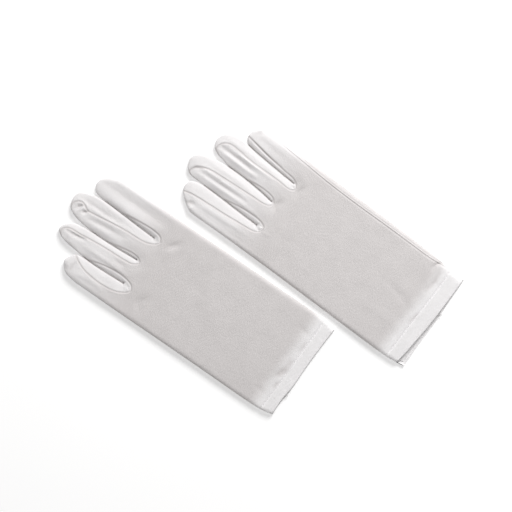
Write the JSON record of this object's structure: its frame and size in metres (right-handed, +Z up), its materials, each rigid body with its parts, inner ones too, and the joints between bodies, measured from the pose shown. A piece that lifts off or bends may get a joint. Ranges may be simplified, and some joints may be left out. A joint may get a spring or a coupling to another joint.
{
  "type": "pair of short dress gloves",
  "caption": "Pair of short white stretch-knit dress gloves laid palm down, thumbs folded under, fingers lined with fourchettes.",
  "frame": {"origin": "on the table, under the middle of the pair's bounding box", "axes": "+Y from the cuffs to the fingertips, +X to the right seen from above with the fingertips up, +Z up from the table"},
  "size_m": [0.1794, 0.2828, 0.0084],
  "materials": {
    "stretch_knit": "matt fine stretch knit, soft white",
    "sewing_thread": "white sewing thread with a faint lustre"
  },
  "bodies": {
    "left_hand": {"left_fourchette_little_ring": "stretch_knit", "left_fourchette_middle_index": "stretch_knit", "left_fourchette_ring_middle": "stretch_knit", "left_hem_back_ply": "stretch_knit", "left_hem_palm_ply": "stretch_knit", "left_hem_thread": "sewing_thread", "left_side_seam_thread": "sewing_thread", "left_thread_tail": "sewing_thread", "left_trank_back": "stretch_knit", "left_trank_palm": "stretch_knit"},
    "left_little": {"left_little_back": "stretch_knit", "left_little_palm": "stretch_knit", "left_little_prong_by_ring": "stretch_knit"},
    "left_ring": {"left_ring_back": "stretch_knit", "left_ring_palm": "stretch_knit", "left_ring_prong_by_little": "stretch_knit", "left_ring_prong_by_middle": "stretch_knit"},
    "left_middle": {"left_middle_back": "stretch_knit", "left_middle_palm": "stretch_knit", "left_middle_prong_by_index": "stretch_knit", "left_middle_prong_by_ring": "stretch_knit"},
    "left_index": {"left_index_back": "stretch_knit", "left_index_palm": "stretch_knit", "left_index_prong_by_middle": "stretch_knit"},
    "left_thumb": {"left_thumb_over": "stretch_knit", "left_thumb_under": "stretch_knit"},
    "right_hand": {"right_fourchette_index_middle": "stretch_knit", "right_fourchette_middle_ring": "stretch_knit", "right_fourchette_ring_little": "stretch_knit", "right_hem_back_ply": "stretch_knit", "right_hem_palm_ply": "stretch_knit", "right_hem_thread": "sewing_thread", "right_side_seam_thread": "sewing_thread", "right_thread_tail": "sewing_thread", "right_trank_back": "stretch_knit", "right_trank_palm": "stretch_knit"},
    "right_index": {"right_index_back": "stretch_knit", "right_index_palm": "stretch_knit", "right_index_prong_by_middle": "stretch_knit"},
    "right_middle": {"right_middle_back": "stretch_knit", "right_middle_palm": "stretch_knit", "right_middle_prong_by_index": "stretch_knit", "right_middle_prong_by_ring": "stretch_knit"},
    "right_ring": {"right_ring_back": "stretch_knit", "right_ring_palm": "stretch_knit", "right_ring_prong_by_little": "stretch_knit", "right_ring_prong_by_middle": "stretch_knit"},
    "right_little": {"right_little_back": "stretch_knit", "right_little_palm": "stretch_knit", "right_little_prong_by_ring": "stretch_knit"},
    "right_thumb": {"right_thumb_over": "stretch_knit", "right_thumb_under": "stretch_knit"}
  },
  "joints": [
    {"name": "right_glove_lift", "type": "slide", "parent": "left_hand", "child": "right_hand", "axis": [0, 0, 1], "range_m": [0, 0.15]},
    {"name": "left_little_fold", "type": "hinge", "parent": "left_hand", "child": "left_little", "pos_m": [-0.04475, 0.07629, 0.0076], "axis": [1, 0, 0], "range_deg": [0, 90]},
    {"name": "left_ring_fold", "type": "hinge", "parent": "left_hand", "child": "left_ring", "pos_m": [-0.04475, 0.07629, 0.0076], "axis": [1, 0, 0], "range_deg": [0, 90]},
    {"name": "left_middle_fold", "type": "hinge", "parent": "left_hand", "child": "left_middle", "pos_m": [-0.04475, 0.07629, 0.0076], "axis": [1, 0, 0], "range_deg": [0, 90]},
    {"name": "left_index_fold", "type": "hinge", "parent": "left_hand", "child": "left_index", "pos_m": [-0.04475, 0.07629, 0.0076], "axis": [1, 0, 0], "range_deg": [0, 90]},
    {"name": "right_index_fold", "type": "hinge", "parent": "right_hand", "child": "right_index", "pos_m": [0.04055, 0.01899, 0.0076], "axis": [1, 0, 0], "range_deg": [0, 90]},
    {"name": "right_middle_fold", "type": "hinge", "parent": "right_hand", "child": "right_middle", "pos_m": [0.04055, 0.01899, 0.0076], "axis": [1, 0, 0], "range_deg": [0, 90]},
    {"name": "right_ring_fold", "type": "hinge", "parent": "right_hand", "child": "right_ring", "pos_m": [0.04055, 0.01899, 0.0076], "axis": [1, 0, 0], "range_deg": [0, 90]},
    {"name": "right_little_fold", "type": "hinge", "parent": "right_hand", "child": "right_little", "pos_m": [0.04055, 0.01899, 0.0076], "axis": [1, 0, 0], "range_deg": [0, 90]},
    {"name": "left_thumb_open", "type": "hinge", "parent": "left_hand", "child": "left_thumb", "pos_m": [-0.00755, 0.00609, 0.0011], "axis": [0, -1, 0], "range_deg": [0, 90]},
    {"name": "right_thumb_open", "type": "hinge", "parent": "right_hand", "child": "right_thumb", "pos_m": [0.00735, -0.05121, 0.0011], "axis": [0, 1, 0], "range_deg": [0, 90]}
  ]
}
